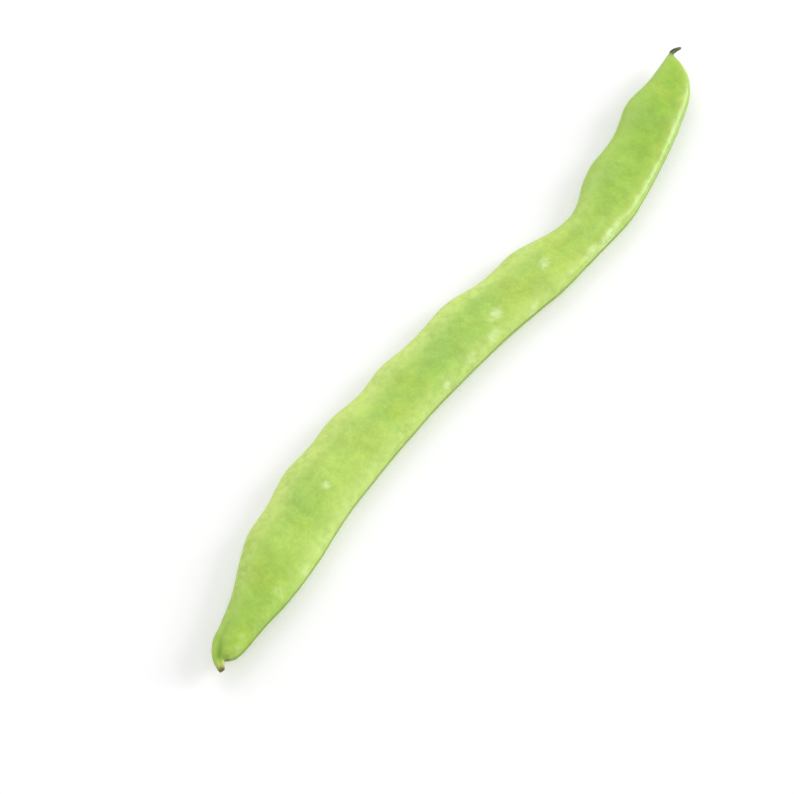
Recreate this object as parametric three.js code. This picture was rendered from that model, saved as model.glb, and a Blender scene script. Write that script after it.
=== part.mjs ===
// A flat-podded green bean, lying on one of its two broad sides.
// Millimetres, +Z up. X runs along the pod from the stub of its stalk to its beak, Y across it.
// The origin is the middle of the pod's footprint, on the surface that it lies on.
import * as THREE from "three";
import { mergeVertices } from "three/addons/utils/BufferGeometryUtils.js";

// Driving dimensions
const FULL_THICKNESS = 7.4; // of a wide stretch, between seeds
const THICKENING_WIDTH = 6; // a pod narrower than this is nearly round
const SIDE_FLATNESS = 2.6; // exponent of the oval section: 2 is an ellipse, more is flatter
const SEAM_GROOVE = 0.4; // depth of the groove between the two lips of a seam

// The seeds, as distances along the pod from the scar of the stalk. None grew at the narrow place
// between the sixth and the seventh.
const SEEDS = [35, 55, 76, 95, 122, 147, 187, 211];
const SEED_SPREAD = 7; // how far a swelling reaches along the pod
const SIDE_SWELLING = 0.32; // how far a seed pushes each side out
const SEAM_SWELLING = 1.3; // how far it pushes out the seam that it hangs from

const RESTING_PRESS = 0.5; // how much of the underside is pressed flat by the pod's weight
const REST_START = 62; // the stretch that lies level
const REST_END = 168;
const STALK_LIFT = 1.5; // how far the two ends rise off the surface
const BEAK_LIFT = 2.4;
const STALK_TWIST = THREE.MathUtils.degToRad(-3);
const BEAK_TWIST = THREE.MathUtils.degToRad(5);

const RINGS = 104; // along the pod
const RING_POINTS = 28; // round the pod, a multiple of 4 so that each seam has a point

// The two seams from above. Each row is one section: where it meets the seed seam, then where it
// meets the back seam. X is from the scar, Y from the straight line between scar and beak.
const SEAMS = [
  // the stub of the stalk
  [[-0.8, -0.5], [0.3, -1.5]],
  [[0.1, 1.7], [1.4, -0.5]],
  [[1.5, 3.6], [2.4, -0.3]],
  // the pod, widening to its full width and narrowing where a seed is missing
  [[3.1, 4.8], [3.2, -1.3]],
  [[5.5, 5.9], [4.6, -2.1]],
  [[10.0, 6.7], [8.5, -2.7]],
  [[17.5, 8.8], [16.0, -3.1]],
  [[27.0, 12.7], [26.0, -4.3]],
  [[38.0, 15.1], [38.0, -4.4]],
  [[52.0, 16.7], [52.0, -3.3]],
  [[68.0, 16.6], [68.0, -3.6]],
  [[84.0, 14.4], [83.0, -4.5]],
  [[100.0, 12.7], [98.0, -6.0]],
  [[117.0, 10.5], [113.5, -8.3]],
  [[133.0, 6.4], [129.5, -11.2]],
  [[147.0, 2.7], [144.0, -14.8]],
  [[159.0, -1.8], [156.5, -16.6]],
  [[169.0, -4.0], [167.5, -18.0]],
  [[180.0, -1.2], [179.5, -19.1]],
  [[193.0, -0.9], [193.5, -17.8]],
  [[209.0, 0.9], [210.5, -15.3]],
  [[220.0, 0.7], [221.5, -12.8]],
  [[227.0, 0.7], [228.0, -9.0]],
  [[230.7, 0.7], [231.2, -5.3]],
  [[232.6, 0.7], [232.5, -2.5]],
  // the beak
  [[234.0, 0.8], [233.5, -0.9]],
  [[235.9, 0.3], [235.3, -0.9]],
  [[238.0, -1.0], [237.6, -1.6]],
];
const LENGTH = SEAMS.at(-1)[0][0];

const seamCurve = (side) =>
  new THREE.CatmullRomCurve3(
    SEAMS.map((row) => new THREE.Vector3(...row[side], 0)),
    false,
    "catmullrom",
    0.5,
  );
const seedSeam = seamCurve(0);
const backSeam = seamCurve(1);

// 1 over the middle of a seed, falling to 0 well away from all of them.
const nearnessToSeed = (x) =>
  SEEDS.reduce((sum, seed) => sum + Math.exp(-(((x - seed) / SEED_SPREAD) ** 2)), 0);

// The section of the pod at `t`, which runs from 0 at the scar to 1 at the tip of the beak.
function sectionAt(t) {
  const seedSide = seedSeam.getPoint(t);
  const backSide = backSeam.getPoint(t);
  const nearness = nearnessToSeed((seedSide.x + backSide.x) / 2);
  seedSide.y += SEAM_SWELLING * nearness;

  const centre = seedSide.clone().add(backSide).multiplyScalar(0.5);
  const across = seedSide.clone().sub(backSide);
  const width = across.length();
  const fullness = 1 - Math.exp(-width / THICKENING_WIDTH);

  const stalkShare = Math.max(0, 1 - centre.x / REST_START) ** 2;
  const beakShare = Math.max(0, (centre.x - REST_END) / (LENGTH - REST_END)) ** 2;
  centre.z = FULL_THICKNESS / 2 + SIDE_SWELLING - RESTING_PRESS;
  centre.z += STALK_LIFT * stalkShare + BEAK_LIFT * beakShare;

  return {
    centre,
    across: across.normalize(),
    halfWidth: width / 2,
    halfThickness: (FULL_THICKNESS / 2) * fullness + SIDE_SWELLING * nearness,
    twist: STALK_TWIST * stalkShare + BEAK_TWIST * beakShare,
  };
}

const flatten = (value) => Math.sign(value) * Math.abs(value) ** (2 / SIDE_FLATNESS);

// One point of the skin. `side` and `up` lie on the unit circle, or are 0 in the middle of an end.
function skinPoint(t, side, up) {
  const { centre, across, halfWidth, halfThickness, twist } = sectionAt(t);
  const onSeam = Math.abs(side) > 0.999;
  const groove = onSeam ? Math.min(SEAM_GROOVE, 0.08 * halfWidth) : 0;
  const sideways = flatten(side) * halfWidth - Math.sign(side) * groove;
  const upwards = flatten(up) * halfThickness;
  const point = centre.clone();
  point.addScaledVector(across, sideways * Math.cos(twist) - upwards * Math.sin(twist));
  point.z += upwards * Math.cos(twist) + sideways * Math.sin(twist);
  point.z = Math.max(point.z, 0);
  return point;
}

// The skin starts as a closed cylinder of unit radius, whose rings move to the pod's sections.
function podGeometry() {
  const cylinder = new THREE.CylinderGeometry(1, 1, 1, RING_POINTS, RINGS);
  cylinder.deleteAttribute("normal");
  cylinder.deleteAttribute("uv");
  const geometry = mergeVertices(cylinder);
  const position = geometry.getAttribute("position");
  for (let i = 0; i < position.count; i++) {
    const t = position.getY(i) + 0.5;
    const point = skinPoint(t, position.getX(i), -position.getZ(i));
    position.setXYZ(i, point.x, point.y, point.z);
  }
  geometry.computeBoundingBox();
  const middle = geometry.boundingBox.getCenter(new THREE.Vector3());
  geometry.translate(-middle.x, -middle.y, 0);
  geometry.computeVertexNormals();
  return geometry;
}

const podSkin = new THREE.MeshStandardMaterial({
  color: 0xb0d266,
  roughness: 0.45,
  metalness: 0,
});

const pod = new THREE.Mesh(podGeometry(), podSkin);
pod.name = "bean_pod";

const bean = new THREE.Group();
bean.add(pod);

export default bean;
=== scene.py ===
"""A flat green bean pod, lying on one of its broad sides. Lengths are in metres."""

import math

import bmesh
import bpy
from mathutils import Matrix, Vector


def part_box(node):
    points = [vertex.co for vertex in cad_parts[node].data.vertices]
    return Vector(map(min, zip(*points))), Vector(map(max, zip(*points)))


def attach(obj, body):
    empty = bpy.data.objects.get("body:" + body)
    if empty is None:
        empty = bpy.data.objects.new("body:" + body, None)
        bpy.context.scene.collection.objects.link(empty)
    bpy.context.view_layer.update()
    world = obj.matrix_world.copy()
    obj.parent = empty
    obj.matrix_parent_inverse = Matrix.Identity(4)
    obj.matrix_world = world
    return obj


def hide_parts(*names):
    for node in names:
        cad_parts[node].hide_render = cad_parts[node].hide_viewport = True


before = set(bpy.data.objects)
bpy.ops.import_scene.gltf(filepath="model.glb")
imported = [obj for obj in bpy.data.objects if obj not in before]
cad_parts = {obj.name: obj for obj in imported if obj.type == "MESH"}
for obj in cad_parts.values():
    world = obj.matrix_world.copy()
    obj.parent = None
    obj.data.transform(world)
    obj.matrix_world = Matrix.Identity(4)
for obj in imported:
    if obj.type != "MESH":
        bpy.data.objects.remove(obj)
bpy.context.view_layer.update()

# ---------------------------------------------------------------------------------------------
# The pod: two fleshy sides of a bean, grown as one along two seams round the seeds. At one end
# is the stub of the stalk that it hung from, torn off, and at the other the beak, which is the
# flower's dried style. It is all one growth under a thin waxy skin, and nothing is fixed to it.
# ---------------------------------------------------------------------------------------------

MM = 0.001
low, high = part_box("bean_pod")

RING_POINTS = 36
STATIONS = 150
BODY_START = low.x + 3.2 * MM  # past the stub of the stalk
BODY_END = high.x - 4.9 * MM  # before the beak
END_CROWDING = 0.7  # how much closer the rings stand at the ends: 0 is even, 1 is touching
TILT_REACH = 8  # rings on each side whose tilts are averaged
SEAM_STRIP = 0.25 * MM  # how much of the width next to a seam tells how high the seam is
WELD = 0.01 * MM


def edit(piece):
    """Goes into edit mode on one piece alone, with nothing of it selected."""
    if bpy.context.mode != "OBJECT":
        bpy.ops.object.mode_set(mode="OBJECT")
    bpy.ops.object.select_all(action="DESELECT")
    piece.select_set(True)
    bpy.context.view_layer.objects.active = piece
    bpy.ops.object.mode_set(mode="EDIT")
    bpy.ops.mesh.select_mode(type="VERT")
    bpy.ops.mesh.select_all(action="DESELECT")


def select_points(piece, wanted):
    """Selects the points of the piece in edit mode for which wanted(point) holds, and no others."""
    mesh = bmesh.from_edit_mesh(piece.data)
    for point in mesh.verts:
        point.select_set(wanted(point))
    mesh.select_flush_mode()
    bmesh.update_edit_mesh(piece.data)


def selected_points(piece):
    """Where the selected points of the piece in edit mode are."""
    return [point.co.copy() for point in bmesh.from_edit_mesh(piece.data).verts if point.select]


def turn(angle, axis, centre):
    """Turns what is selected by the right-hand rule. With no window the operator does the reverse."""
    bpy.ops.transform.rotate(value=-angle, orient_axis=axis, center_override=centre)


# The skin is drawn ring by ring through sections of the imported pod. They are cut from a merged
# copy of it, the guide.
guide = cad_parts["bean_pod"].copy()
guide.data = guide.data.copy()
bpy.context.scene.collection.objects.link(guide)
edit(guide)
bpy.ops.mesh.select_all(action="SELECT")
bpy.ops.mesh.remove_doubles(threshold=WELD)


def section_at(x):
    """The middle, half-width, half-thickness and tilt of the pod where it is cut across at x."""
    bpy.ops.mesh.select_all(action="SELECT")
    bpy.ops.mesh.bisect(plane_co=(x, 0, 0), plane_no=(1, 0, 0))
    cut = selected_points(guide)
    seed_side = max(point.y for point in cut)
    back_side = min(point.y for point in cut)
    seed_lips = [point.z for point in cut if point.y > seed_side - SEAM_STRIP]
    back_lips = [point.z for point in cut if point.y < back_side + SEAM_STRIP]
    rise = (max(seed_lips) + min(seed_lips) - max(back_lips) - min(back_lips)) / 2
    top = max(point.z for point in cut)
    bottom = min(point.z for point in cut)
    return {
        "middle": Vector((x, (seed_side + back_side) / 2, (top + bottom) / 2)),
        "half_width": (seed_side - back_side) / 2,
        "half_thickness": (top - bottom) / 2,
        "tilt": math.atan2(rise, seed_side - back_side),
    }


def station(share):
    """Where along the pod a ring stands, closer together towards the ends."""
    eased = share - END_CROWDING * math.sin(2 * math.pi * share) / (2 * math.pi)
    return BODY_START + (BODY_END - BODY_START) * eased


sections = [section_at(station(i / (STATIONS - 1))) for i in range(STATIONS)]
tilts = [section["tilt"] for section in sections]
for i, section in enumerate(sections):
    nearby = tilts[max(0, i - TILT_REACH) : i + TILT_REACH + 1]
    section["tilt"] = sum(nearby) / len(nearby)
bpy.ops.object.mode_set(mode="OBJECT")

# The first ring, and then one after another along the pod.
first = sections[0]
bpy.ops.mesh.primitive_circle_add(
    vertices=RING_POINTS,
    radius=first["half_width"],
    location=first["middle"],
    rotation=(0, math.pi / 2, 0),
)
pod = bpy.context.object
pod.name = "pod"
pod.data.name = "pod"
bpy.ops.object.transform_apply(location=True, rotation=True, scale=True)
edit(pod)
bpy.ops.mesh.select_all(action="SELECT")
flatness = first["half_thickness"] / first["half_width"]
bpy.ops.transform.resize(value=(1, 1, flatness), center_override=first["middle"])
turn(first["tilt"], "X", first["middle"])
for last, section in zip(sections, sections[1:]):
    bpy.ops.mesh.extrude_edges_move(
        TRANSFORM_OT_translate={"value": section["middle"] - last["middle"]}
    )
    wider = section["half_width"] / last["half_width"]
    thicker = section["half_thickness"] / last["half_thickness"]
    turn(-last["tilt"], "X", section["middle"])
    bpy.ops.transform.resize(value=(1, wider, thicker), center_override=section["middle"])
    turn(section["tilt"], "X", section["middle"])
bpy.ops.object.mode_set(mode="OBJECT")

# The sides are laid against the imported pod's. The points at the seams keep their ring's width.
BACK_ROW = RING_POINTS // 2  # the back seam's point in a ring. The seed seam's is point 0.


def rows_from_seam(point):
    """How many rows of points a point is away from the nearest seam."""
    row = point.index % RING_POINTS  # extruding keeps the order of a ring's points
    return min(row, abs(row - BACK_ROW), RING_POINTS - row)


sides = pod.vertex_groups.new(name="sides")
sides.add([p.index for p in pod.data.vertices if rows_from_seam(p) > 1], 1, "REPLACE")
bpy.ops.object.modifier_add(type="SHRINKWRAP")
fit = pod.modifiers[-1]
fit.target = guide
fit.vertex_group = sides.name
bpy.ops.object.modifier_apply(modifier=fit.name)
bpy.data.objects.remove(guide)


def note(name, values):
    """Gives every point of the pod a value under a name, for the shaping or for the skin."""
    layer = pod.data.attributes.new(name, "FLOAT", "POINT")
    layer.data.foreach_set("value", values)


def noted(name):
    """What every point of the pod was given under a name."""
    layer = pod.data.attributes[name]
    values = [0.0] * len(layer.data)
    layer.data.foreach_get("value", values)
    return values


# Each point is given its distance from the two seams, round its ring.
from_seed_seam = []
from_back_seam = []
for start in range(0, len(pod.data.vertices), RING_POINTS):
    ring = [point.co for point in pod.data.vertices[start : start + RING_POINTS]]
    walked = [0]
    for here, following in zip(ring, ring[1:]):
        walked.append(walked[-1] + (following - here).length)
    girth = walked[-1] + (ring[0] - ring[-1]).length
    from_seed_seam += [min(distance, girth - distance) for distance in walked]
    from_back_seam += [abs(distance - walked[BACK_ROW]) for distance in walked]
note("from_seed_seam", from_seed_seam)
note("from_back_seam", from_back_seam)
for name in ("along_stub", "along_beak"):
    note(name, [0.0] * len(pod.data.vertices))


def draw_out(name, steps):
    """Draws an end of the pod out, ring by ring, from the ring that is selected, and closes it.

    Each step is a ring's move in millimetres, its size next to the last ring's, and the angle in
    degrees by which it turns to face another way. The points are given how far along they are.
    """
    for i, (move, size, yaw) in enumerate(steps):
        bpy.ops.mesh.extrude_edges_move(TRANSFORM_OT_translate={"value": Vector(move) * MM})
        mesh = bmesh.from_edit_mesh(pod.data)
        ring = [point for point in mesh.verts if point.select]
        centre = sum((point.co for point in ring), Vector()) / len(ring)
        for point in ring:
            point[mesh.verts.layers.float[name]] = (i + 1) / len(steps)
        bmesh.update_edit_mesh(pod.data)
        bpy.ops.transform.resize(value=(size, size, size), center_override=centre)
        turn(math.radians(yaw), "Z", centre)
    bpy.ops.mesh.merge(type="CENTER")


# The beak carries on from the seed seam and hooks over towards the back seam.
edit(pod)
select_points(pod, lambda point: point.index >= (STATIONS - 1) * RING_POINTS)
draw_out(
    "along_beak",
    [
        ((0.5, 0.3, 0), 0.84, 0),
        ((0.6, 0.15, 0), 0.88, 0),
        ((0.7, -0.1, 0), 0.88, -10),
        ((0.8, -0.3, 0), 0.88, -10),
        ((0.8, -0.45, 0), 0.85, -8),
        ((0.7, -0.45, 0), 0.75, -5),
        ((0.25, -0.18, 0), 0.6, 0),
    ],
)

# The stub leaves the seed side of the pod's other end. It is hollow where it broke.
select_points(pod, lambda point: point.index < RING_POINTS)
draw_out(
    "along_stub",
    [
        ((-0.65, -0.35, 0), 0.78, 20),
        ((-0.6, -0.55, 0), 0.8, 20),
        ((-0.78, -0.88, 0), 0.8, 14),
        ((-0.62, -0.88, 0), 0.8, 10),
        ((-0.22, -0.4, 0), 0.86, 4),
        ((0.0, -0.02, 0), 0.75, 0),
        ((0.16, 0.24, 0), 0.6, 0),
    ],
)
bpy.ops.mesh.select_all(action="SELECT")
bpy.ops.mesh.normals_make_consistent(inside=False)
bpy.ops.object.mode_set(mode="OBJECT")
bpy.ops.object.shade_smooth()
bpy.ops.object.modifier_add(type="SUBSURF")
smooth = pod.modifiers[-1]
smooth.levels = smooth.render_levels = 2
bpy.ops.object.modifier_apply(modifier=smooth.name)

# How far the points are from the seams, and from the middle of their side, towards the back.
seed_distances = noted("from_seed_seam")
back_distances = noted("from_back_seam")
seam_distances = [min(pair) for pair in zip(seed_distances, back_distances)]
middle_distances = [(seed - back) / 2 for seed, back in zip(seed_distances, back_distances)]
places = [point.co.copy() for point in pod.data.vertices]

# The shaping of the body fades out along the two ends, and is gone within two thirds of them.
END_FADE = 1.6
plain = [
    max(0, 1 - END_FADE * max(pair)) for pair in zip(noted("along_stub"), noted("along_beak"))
]

SLIGHTEST = 0.002  # the least share of a height that is worth moving a point by


def bell(distance, spread):
    """1 at no distance, falling smoothly to nothing at about twice the spread."""
    return math.exp(-((distance / spread) ** 2))


def ridge(distances, off, spread, middle=0, reach=math.inf):
    """How much each point belongs to a ridge that runs beside a seam, some way off it.

    The distances are from that seam. The ridge runs all along the pod, or it fades away at some
    reach from its middle.
    """
    return [
        bell(distance - off, spread) * bell(place.x - middle, reach) * p
        for distance, place, p in zip(distances, places, plain)
    ]


def raise_skin(height, weights, texture=None):
    """Moves the skin out by a height times each point's weight, and times the texture if given."""
    group = pod.vertex_groups.new(name="raised")
    for i, weight in enumerate(weights):
        if weight > SLIGHTEST:
            group.add([i], weight, "REPLACE")
    bpy.ops.object.modifier_add(type="DISPLACE")
    raising = pod.modifiers[-1]
    raising.vertex_group = group.name
    raising.strength = height
    raising.mid_level = 0.5 if texture else 0
    raising.texture = texture
    bpy.ops.object.modifier_apply(modifier=raising.name)
    pod.vertex_groups.clear()


# The seams: two rounded lips with a groove between them.
lips = ridge(seam_distances, off=0.7 * MM, spread=0.4 * MM)
groove = ridge(seam_distances, off=0, spread=0.27 * MM)
raise_skin(0.12 * MM, lips)
raise_skin(-0.38 * MM, groove)

# The seeds swell both sides softly, a little nearer to the seam that they hang from.
SEEDS = [35, 55, 76, 95, 122, 147, 187, 211]  # millimetres from the scar of the stalk
SEED_LENGTH = 6 * MM
SEED_HEIGHT = 5 * MM
NEARER_SEED_SEAM = 1.5 * MM
scar = low.x + 0.8 * MM


def over_seed(place, from_middle):
    """1 over the middle of a seed, falling to 0 well away from all of them."""
    along = sum(bell(place.x - scar - seed * MM, SEED_LENGTH) for seed in SEEDS)
    return min(1, along * bell(from_middle + NEARER_SEED_SEAM, SEED_HEIGHT))


raise_skin(0.18 * MM, [over_seed(*pair) for pair in zip(places, middle_distances)])

# The flesh grew a little uneven: in soft waves and fine ones all over, and in small knobs that
# are most marked along the margins.
margins = ridge(seam_distances, off=3 * MM, spread=2.6 * MM)
for wave, height, weights in (
    (13 * MM, 0.3 * MM, plain),
    (4.5 * MM, 0.12 * MM, plain),
    (2.6 * MM, 0.13 * MM, margins),
):
    swell = bpy.data.textures.new("swell", "CLOUDS")
    swell.noise_scale = wave
    swell.noise_depth = 0
    raise_skin(height, weights, swell)

# The margin at the back is full, and it is swollen where the pod bends.
full_margin = ridge(back_distances, off=2.3 * MM, spread=1.6 * MM)
bend = ridge(back_distances, off=4.6 * MM, spread=2.2 * MM, middle=50 * MM, reach=10 * MM)
raise_skin(0.13 * MM, full_margin)
raise_skin(0.58 * MM, bend)

# The shoulder beside the beak is drawn in a little.
shoulder = ridge(
    back_distances, off=0, spread=4 * MM, middle=BODY_END - 1.2 * MM, reach=3.4 * MM
)
raise_skin(-0.38 * MM, shoulder)

# A shallow trough lies beside the rib that runs from the stub into the seed seam.
trough = ridge(
    seed_distances, off=3.7 * MM, spread=1.1 * MM, middle=low.x + 3 * MM, reach=8 * MM
)
raise_skin(-0.55 * MM, trough)
note("trough", trough)

# The pod's own weight presses its underside flat on the table.
edit(pod)
select_points(pod, lambda point: point.co.z < 0)
bpy.ops.transform.resize(value=(1, 1, 0), center_override=(0, 0, 0))
bpy.ops.object.mode_set(mode="OBJECT")

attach(pod, "root")
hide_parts("bean_pod")

# Dry whitish scuffs on the skin, where pods rubbed against each other, and one painted highlight,
# the long bright streak where the back margin bends. Each is its middle in millimetres, its
# length, its width, how strong it is and its side, 1 for the upper one.
SCUFFS_AND_PAINTED_SHEEN = [
    ((29.5, -6.5), 3.0, 1.8, 1, 1),
    ((8.0, -3.5), 3.6, 2.2, 1, 1),
    ((2.5, -6.5), 3.4, 1.8, 0.9, 1),
    ((16.5, -11.0), 4.0, 1.0, 0.9, 1),
    ((-7.0, -5.0), 2.6, 1.6, 0.9, 1),
    ((-18.0, -4.0), 2.2, 1.2, 0.9, 1),
    ((40.5, -15.0), 3.4, 1.5, 0.9, 1),
    # a painted highlight, not a scuff: the bright streak along the bend of the back margin
    ((48.5, -16.5), 8.0, 1.4, 0.95, 1),
    ((-62.0, 6.0), 1.8, 1.5, 1, 1),
    ((-85.5, -3.0), 1.8, 1.2, 0.8, 1),
    ((-94.0, -0.5), 2.0, 1.6, 0.7, 1),
    ((-109.5, 0.0), 1.3, 1.0, 0.62, 1),
    ((-112.5, -1.0), 2.2, 1.4, 0.58, 1),
    ((-115.5, -1.0), 0.9, 0.9, 0.9, 1),
    ((-40.0, 9.0), 4.0, 1.6, 1, -1),
    ((12.0, -2.0), 5.0, 2.4, 1, -1),
    ((71.0, -8.0), 3.0, 1.6, 1, -1),
]
SIDE_SPLIT = (low.z + high.z) / 2


def scuff_and_painted_sheen_amount(place):
    """How strong a scuff or the painted highlight is at a place, falling to 0 outside all of them."""
    side = 1 if place.z > SIDE_SPLIT else -1
    return max(
        strength * bell(place.x - x * MM, length * MM) * bell(place.y - y * MM, width * MM)
        for (x, y), length, width, strength, scuff_side in SCUFFS_AND_PAINTED_SHEEN
        if scuff_side == side
    )


note("scuff_and_painted_sheen_amount", [scuff_and_painted_sheen_amount(point.co) for point in pod.data.vertices])


def linear(hex_colour):
    """A colour written as sRGB hex, as the linear values that shaders and lamps take."""
    channels = [int(hex_colour[i : i + 2], 16) / 255 for i in (1, 3, 5)]
    return tuple(
        c / 12.92 if c <= 0.04045 else ((c + 0.055) / 1.055) ** 2.4 for c in channels
    ) + (1,)


def set_inputs(node, inputs):
    """Gives each named input of a node a value or a link.

    A link comes from an output of another node, or from a node, which stands for its first
    output in use.
    """
    for name, value in inputs.items():
        named = [socket for socket in node.inputs if socket.name == name and socket.enabled]
        socket = named[0] if named else node.inputs[name]
        if isinstance(value, bpy.types.Node):
            value = next(output for output in value.outputs if output.enabled)
        if isinstance(value, bpy.types.NodeSocket):
            node.id_data.links.new(value, socket)
        else:
            socket.default_value = value


def add_node(tree, kind, inputs=None, **settings):
    """Adds a node with its settings and its inputs."""
    node = tree.nodes.new(kind)
    for name, value in settings.items():
        setattr(node, name, value)
    set_inputs(node, inputs or {})
    return node


# Fresh bean skin: living flesh under a thin waxy cuticle. It gives a soft green, mottled with
# yellower and bluer patches, and a satin shine that the unevenness of the flesh breaks up.
skin = bpy.data.materials.new("waxy_bean_skin")
skin.use_nodes = True
tree = skin.node_tree

where = add_node(tree, "ShaderNodeTexCoord").outputs["Object"]
axes = add_node(tree, "ShaderNodeSeparateXYZ", {"Vector": where}).outputs
along_pod = axes["X"]
seed_seam, back_seam, stub, beak, trough_depth, scuff_and_painted_sheen = (
    add_node(tree, "ShaderNodeAttribute", attribute_name=name).outputs["Fac"]
    for name in (
        "from_seed_seam", "from_back_seam", "along_stub", "along_beak", "trough", "scuff_and_painted_sheen_amount"
    )
)
seam = add_node(tree, "ShaderNodeMath", {0: seed_seam, 1: back_seam}, operation="MINIMUM")

# The fibres run across the pod from seam to seam, and the patterns in them are drawn out a
# little that way.
DRAWN_OUT = 0.85
inwards = add_node(tree, "ShaderNodeMath", {0: seed_seam, 1: DRAWN_OUT}, operation="MULTIPLY")
in_fibres = add_node(
    tree, "ShaderNodeCombineXYZ", {"X": along_pod, "Y": inwards, "Z": axes["Z"]}
)

# Broad patches of darker and lighter flesh.
patches = add_node(
    tree,
    "ShaderNodeTexNoise",
    {"Vector": where, "Scale": 1 / (22 * MM), "Detail": 4, "Roughness": 0.5},
)
lightness = add_node(
    tree,
    "ShaderNodeMapRange",
    {"Value": patches, "From Min": 0.36, "From Max": 0.62},
    interpolation_type="SMOOTHSTEP",
)

# Both ends are of a deeper green.
DEEPEST = 0.8
beak_end = add_node(
    tree,
    "ShaderNodeMapRange",
    {"Value": along_pod, "From Min": 8 * MM, "From Max": 86 * MM},
    interpolation_type="SMOOTHSTEP",
)
stalk_end = add_node(
    tree,
    "ShaderNodeMapRange",
    {"Value": along_pod, "From Min": -70 * MM, "From Max": -110 * MM},
    interpolation_type="SMOOTHSTEP",
)
ends = add_node(tree, "ShaderNodeMath", {0: beak_end, 1: stalk_end}, operation="ADD")
ends = add_node(tree, "ShaderNodeMath", {0: ends, 1: DEEPEST}, operation="MULTIPLY")

# Yellower spots, and cooler ones.
spots = add_node(
    tree,
    "ShaderNodeTexNoise",
    {"Vector": where, "Scale": 1 / (12 * MM), "Detail": 3, "Roughness": 0.5, "Distortion": 0.6},
)
yellowness = add_node(
    tree,
    "ShaderNodeMapRange",
    {"Value": spots, "From Min": 0.5, "From Max": 0.7, "To Max": 0.45},
    interpolation_type="SMOOTHSTEP",
)
coolness = add_node(
    tree,
    "ShaderNodeMapRange",
    {"Value": spots, "From Min": 0.48, "From Max": 0.3, "To Max": 0.18},
    interpolation_type="SMOOTHSTEP",
)

# Small blotches among the fibres, and fine stippling: the cells just under the skin.
blotches = add_node(
    tree,
    "ShaderNodeTexNoise",
    {"Vector": in_fibres, "Scale": 1 / (4 * MM), "Detail": 4, "Roughness": 0.6, "Distortion": 0.3},
)
blotch_shade = add_node(
    tree,
    "ShaderNodeMapRange",
    {"Value": blotches, "From Min": 0.35, "From Max": 0.65, "To Min": 0.905, "To Max": 1.095},
)
stipple = add_node(
    tree,
    "ShaderNodeTexNoise",
    {"Vector": where, "Scale": 1 / (0.8 * MM), "Detail": 2, "Roughness": 0.6},
)
stipple_shade = add_node(
    tree,
    "ShaderNodeMapRange",
    {"Value": stipple, "From Min": 0.3, "From Max": 0.7, "To Min": 0.94, "To Max": 1.055},
)

# The flesh pales towards the seams, and the pale margin is partly painted light: it also
# stands in for the brightness that the rounded shoulders catch. The fibres that run in from the
# seams and the small knobs beside them break the pale margin up, and it is weaker where the ends
# are a deeper green.
fibres = add_node(
    tree,
    "ShaderNodeTexNoise",
    {"Vector": in_fibres, "Scale": 1 / (1.4 * MM), "Detail": 3, "Roughness": 0.6},
)
fibre_shade = add_node(
    tree,
    "ShaderNodeMapRange",
    {"Value": fibres, "From Min": 0.3, "From Max": 0.7, "To Min": 0.65, "To Max": 1.15},
)
knobs = add_node(
    tree,
    "ShaderNodeTexNoise",
    {"Vector": where, "Scale": 1 / (1.9 * MM), "Detail": 2, "Roughness": 0.5},
)
knob_shade = add_node(
    tree,
    "ShaderNodeMapRange",
    {"Value": knobs, "From Min": 0.35, "From Max": 0.65, "To Min": 0.5, "To Max": 1.25},
)
broken_up = add_node(
    tree, "ShaderNodeMath", {0: fibre_shade, 1: knob_shade}, operation="MULTIPLY"
)
away_from_ends = add_node(
    tree, "ShaderNodeMapRange", {"Value": ends, "From Max": DEEPEST, "To Min": 1, "To Max": 0.2}
)
pale_margin_and_painted_light = add_node(
    tree,
    "ShaderNodeMapRange",
    {"Value": seam, "From Min": 1.5 * MM, "From Max": 9 * MM, "To Min": 0.95, "To Max": 0},
    interpolation_type="SMOOTHSTEP",
)
for share in (broken_up, away_from_ends):
    pale_margin_and_painted_light = add_node(tree, "ShaderNodeMath", {0: pale_margin_and_painted_light, 1: share}, operation="MULTIPLY")

# The margin at the seed seam is the palest of all, except towards the two ends. Part of that
# paleness is a painted highlight along the edge of the seed side.
away_from_beak = add_node(
    tree, "ShaderNodeMapRange", {"Value": beak_end, "To Min": 1, "To Max": 0.2}
)
away_from_stalk = add_node(
    tree, "ShaderNodeMapRange", {"Value": stalk_end, "To Min": 1, "To Max": 0.3}
)
pale_rim_and_painted_highlight = add_node(
    tree,
    "ShaderNodeMapRange",
    {"Value": seed_seam, "From Min": 0.5 * MM, "From Max": 10 * MM, "To Min": 0.8, "To Max": 0},
    interpolation_type="SMOOTHSTEP",
)
for share in (broken_up, away_from_beak, away_from_stalk):
    pale_rim_and_painted_highlight = add_node(tree, "ShaderNodeMath", {0: pale_rim_and_painted_highlight, 1: share}, operation="MULTIPLY")

# Towards the beak that margin is a fresh green, and the one at the back is creamy a little way
# off its seam.
fresh_green = add_node(
    tree,
    "ShaderNodeMapRange",
    {"Value": seed_seam, "From Min": 9 * MM, "From Max": 1 * MM, "To Max": 0.75},
    interpolation_type="SMOOTHSTEP",
)
fresh_green = add_node(
    tree, "ShaderNodeMath", {0: fresh_green, 1: beak_end}, operation="MULTIPLY"
)
off_seam = add_node(
    tree,
    "ShaderNodeMapRange",
    {"Value": back_seam, "From Min": 1.5 * MM, "From Max": 3.5 * MM},
    interpolation_type="SMOOTHSTEP",
)
cream = add_node(
    tree,
    "ShaderNodeMapRange",
    {"Value": back_seam, "From Min": 7 * MM, "From Max": 3.5 * MM, "To Max": 0.22},
    interpolation_type="SMOOTHSTEP",
)
for share in (off_seam, beak_end):
    cream = add_node(tree, "ShaderNodeMath", {0: cream, 1: share}, operation="MULTIPLY")

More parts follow.
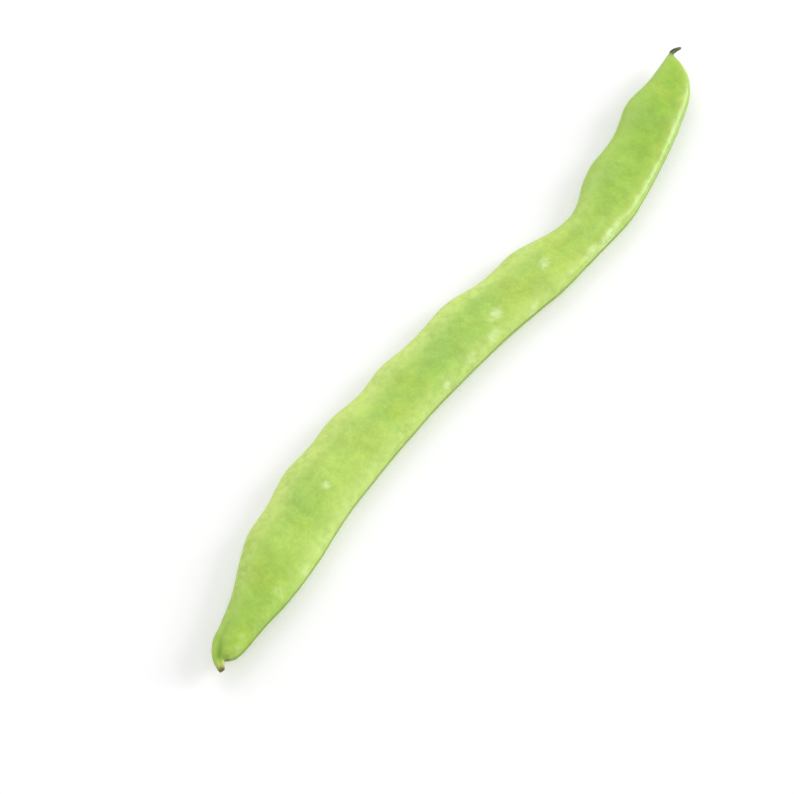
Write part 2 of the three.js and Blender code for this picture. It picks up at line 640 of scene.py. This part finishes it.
# The groove of the back seam is a darker line, widened with painted shade where the back edge
# turns away from the light. The trough beside the stub is given a deeper green, which is painted
# shade in its hollow.
back_seam_line_and_painted_shade = add_node(
    tree,
    "ShaderNodeMapRange",
    {"Value": back_seam, "From Min": 0.2 * MM, "From Max": 1.3 * MM, "To Min": 0.7, "To Max": 0},
    interpolation_type="SMOOTHSTEP",
)
trough_painted_shade = add_node(tree, "ShaderNodeMapRange", {"Value": trough_depth, "To Max": 0.6})

# The scuffs are flecks of dry, broken wax. The painted highlight along the bend is broken into
# the same flecks.
flecks = add_node(
    tree,
    "ShaderNodeTexNoise",
    {"Vector": in_fibres, "Scale": 1 / (1.2 * MM), "Detail": 3, "Roughness": 0.65},
)
flecked_scuff_and_painted_sheen = add_node(tree, "ShaderNodeMath", {0: scuff_and_painted_sheen, 1: flecks}, operation="MULTIPLY")
scuff_and_painted_sheen_strength = add_node(
    tree,
    "ShaderNodeMapRange",
    {"Value": flecked_scuff_and_painted_sheen, "From Min": 0.12, "From Max": 0.6, "To Max": 0.8},
    interpolation_type="SMOOTHSTEP",
)

# The stub turns straw yellow and then brown towards the break. The beak is dark green from its
# root on, and its tip is dried to a dull straw.
stub_yellow = add_node(
    tree,
    "ShaderNodeMapRange",
    {"Value": stub, "From Min": 0.25, "From Max": 0.5, "To Max": 0.85},
)
stub_brown = add_node(
    tree,
    "ShaderNodeMapRange",
    {"Value": stub, "From Min": 0.45, "From Max": 0.66, "To Max": 0.95},
)
beak_root = add_node(
    tree,
    "ShaderNodeMapRange",
    {"Value": along_pod, "From Min": BODY_END - 2 * MM, "From Max": BODY_END, "To Max": 0.26},
)
beak_green = add_node(tree, "ShaderNodeMath", {0: beak, 1: beak_root}, operation="ADD")
beak_green = add_node(
    tree, "ShaderNodeMapRange", {"Value": beak_green, "From Max": 0.42, "To Max": 0.97}
)
beak_dry = add_node(
    tree,
    "ShaderNodeMapRange",
    {"Value": beak, "From Min": 0.45, "From Max": 0.95, "To Max": 0.85},
)

# The colours, each laid over the ones before it by its own share.
colour = linear("#A6CF56")
for share, tone, way in (
    (lightness, linear("#BADB63"), "MIX"),
    (ends, linear("#98C53C"), "MIX"),
    (yellowness, linear("#BCD24A"), "MIX"),
    (coolness, linear("#A9D97A"), "MIX"),
    (1, blotch_shade, "MULTIPLY"),
    (1, stipple_shade, "MULTIPLY"),
    # pale margins, partly painted light on the rounded shoulders
    (pale_margin_and_painted_light, linear("#CCE87C"), "MIX"),
    # pale seed-side margin, partly a painted highlight along its edge
    (pale_rim_and_painted_highlight, linear("#DCF279"), "MIX"),
    (fresh_green, linear("#A9D23E"), "MIX"),
    (cream, linear("#C6CA58"), "MIX"),
    # darker seam line, widened by painted shade on the back edge
    (back_seam_line_and_painted_shade, linear("#809F42"), "MIX"),
    # painted shade in the trough beside the stub
    (trough_painted_shade, linear("#74A62E"), "MIX"),
    # whitish scuffs, and one painted highlight along the bend
    (scuff_and_painted_sheen_strength, linear("#E0F9AC"), "MIX"),
    (stub_yellow, linear("#CBCD68"), "MIX"),
    (stub_brown, linear("#635A3A"), "MIX"),
    (beak_green, linear("#233D02"), "MIX"),
    (beak_dry, linear("#827C58"), "MIX"),
):
    colour = add_node(
        tree,
        "ShaderNodeMix",
        {"Factor": share, "A": colour, "B": tone},
        data_type="RGBA",
        blend_type=way,
    )

# The wax is a little duller over the yellower spots, and towards the stalk.
roughness = add_node(
    tree,
    "ShaderNodeMapRange",
    {"Value": spots, "From Min": 0.35, "From Max": 0.7, "To Min": 0.3, "To Max": 0.4},
)
dullness = add_node(
    tree,
    "ShaderNodeMapRange",
    {"Value": along_pod, "From Min": 20 * MM, "From Max": -100 * MM, "To Max": 0.16},
    interpolation_type="SMOOTHSTEP",
)
roughness = add_node(tree, "ShaderNodeMath", {0: roughness, 1: dullness}, operation="ADD")

# The knobs and the fibres stand up along the margins, and hardly in the middle of the sides.
margin = add_node(
    tree,
    "ShaderNodeMapRange",
    {"Value": seam, "From Min": 3 * MM, "From Max": 8 * MM, "To Min": 1, "To Max": 0.15},
    interpolation_type="SMOOTHSTEP",
)
grain = add_node(tree, "ShaderNodeMath", {0: knobs, 1: fibres}, operation="ADD")
grain = add_node(tree, "ShaderNodeMath", {0: grain, 1: margin}, operation="MULTIPLY")
bumps = add_node(
    tree, "ShaderNodeBump", {"Strength": 0.5, "Distance": 0.15 * MM, "Height": grain}
)

set_inputs(
    tree.nodes["Principled BSDF"],
    {
        "Base Color": colour,
        "Roughness": roughness,
        "IOR": 1.45,
        "Coat Weight": 0.1,
        "Coat Roughness": 0.25,
        "Normal": bumps,
    },
)
pod.data.materials.clear()
pod.data.materials.append(skin)

# ---------------------------------------------------------------------------------------------
# The studio, which isn't part of the object: a broad sheet of white paper that the pod lies on,
# two soft boxes that light it, the white room around them, and the camera.
# ---------------------------------------------------------------------------------------------

PAPER_SIZE = 8
HAIR = 0.02 * MM  # the gap under the pod, so that no two faces share a plane

bpy.ops.mesh.primitive_plane_add(size=PAPER_SIZE, location=(0, 0, -HAIR))
table = bpy.context.object
table.name = "table_top"


def seen_directly(tree):
    """1 for what the camera sees straight, in a reflection or through glass, and 0 otherwise."""
    rays = add_node(tree, "ShaderNodeLightPath").outputs
    seen = rays["Is Camera Ray"]
    for way in ("Is Glossy Ray", "Is Transmission Ray"):
        seen = add_node(tree, "ShaderNodeMath", {0: seen, 1: rays[way]}, operation="MAXIMUM")
    return seen


# White paper is matt and takes soft shadows. Where it is seen it is lifted to almost pure white,
# and otherwise it throws only a plain light back at the pod.
paper = bpy.data.materials.new("white_paper_sweep")
paper.use_nodes = True
seen = seen_directly(paper.node_tree)
whiteness = add_node(
    paper.node_tree, "ShaderNodeMapRange", {"Value": seen, "To Min": 0.6, "To Max": 0.85}
)
lift = add_node(paper.node_tree, "ShaderNodeMapRange", {"Value": seen, "To Max": 0.24})
set_inputs(
    paper.node_tree.nodes["Principled BSDF"],
    {"Base Color": whiteness, "Emission Color": (1, 1, 1, 1), "Emission Strength": lift},
)
table.data.materials.append(paper)

# The room is pure white to look at, and lights the pod less strongly than that.
world = bpy.data.worlds.new("soft_white_room")
bpy.context.scene.world = world
world.use_nodes = True
brightness = add_node(
    world.node_tree,
    "ShaderNodeMapRange",
    {"Value": seen_directly(world.node_tree), "To Min": 0.58, "To Max": 1},
)
set_inputs(
    world.node_tree.nodes["Background"], {"Color": (1, 1, 1, 1), "Strength": brightness}
)


def direction(azimuth, elevation):
    """The way from the pod to a place in the room at an azimuth and an elevation, in degrees."""
    a, e = math.radians(azimuth), math.radians(elevation)
    return Vector((math.sin(a) * math.cos(e), -math.cos(a) * math.cos(e), math.sin(e)))


LAMP_DISTANCE = 2.8
for name, azimuth, elevation, width, height, watts in (
    ("key_softbox", 50, 22, 1.2, 1.6, 48),
    ("rim_softbox", 155, 38, 2.6, 2.6, 23),
):
    away = direction(azimuth, elevation)
    bpy.ops.object.light_add(type="AREA", location=(low + high) / 2 + away * LAMP_DISTANCE)
    lamp = bpy.context.object
    lamp.name = name
    lamp.rotation_euler = away.to_track_quat("Z", "Y").to_euler()
    lamp.data.shape = "RECTANGLE"
    lamp.data.size = width
    lamp.data.size_y = height
    lamp.data.energy = watts

CAMERA_DISTANCE = 0.6
CAMERA_AZIMUTH = -57.2
CAMERA_ELEVATION = 60
LOOKED_AT = Vector((-27.2, 6.1, 3.5)) * MM

camera_data = bpy.data.cameras.new("camera")
camera_data.lens = 100
camera_data.sensor_width = 36
camera = bpy.data.objects.new("camera", camera_data)
bpy.context.scene.collection.objects.link(camera)
bpy.context.scene.camera = camera
away = direction(CAMERA_AZIMUTH, CAMERA_ELEVATION)
camera.location = LOOKED_AT + away * CAMERA_DISTANCE
camera.rotation_euler = away.to_track_quat("Z", "Y").to_euler()
bpy.context.scene.view_settings.view_transform = "Standard"
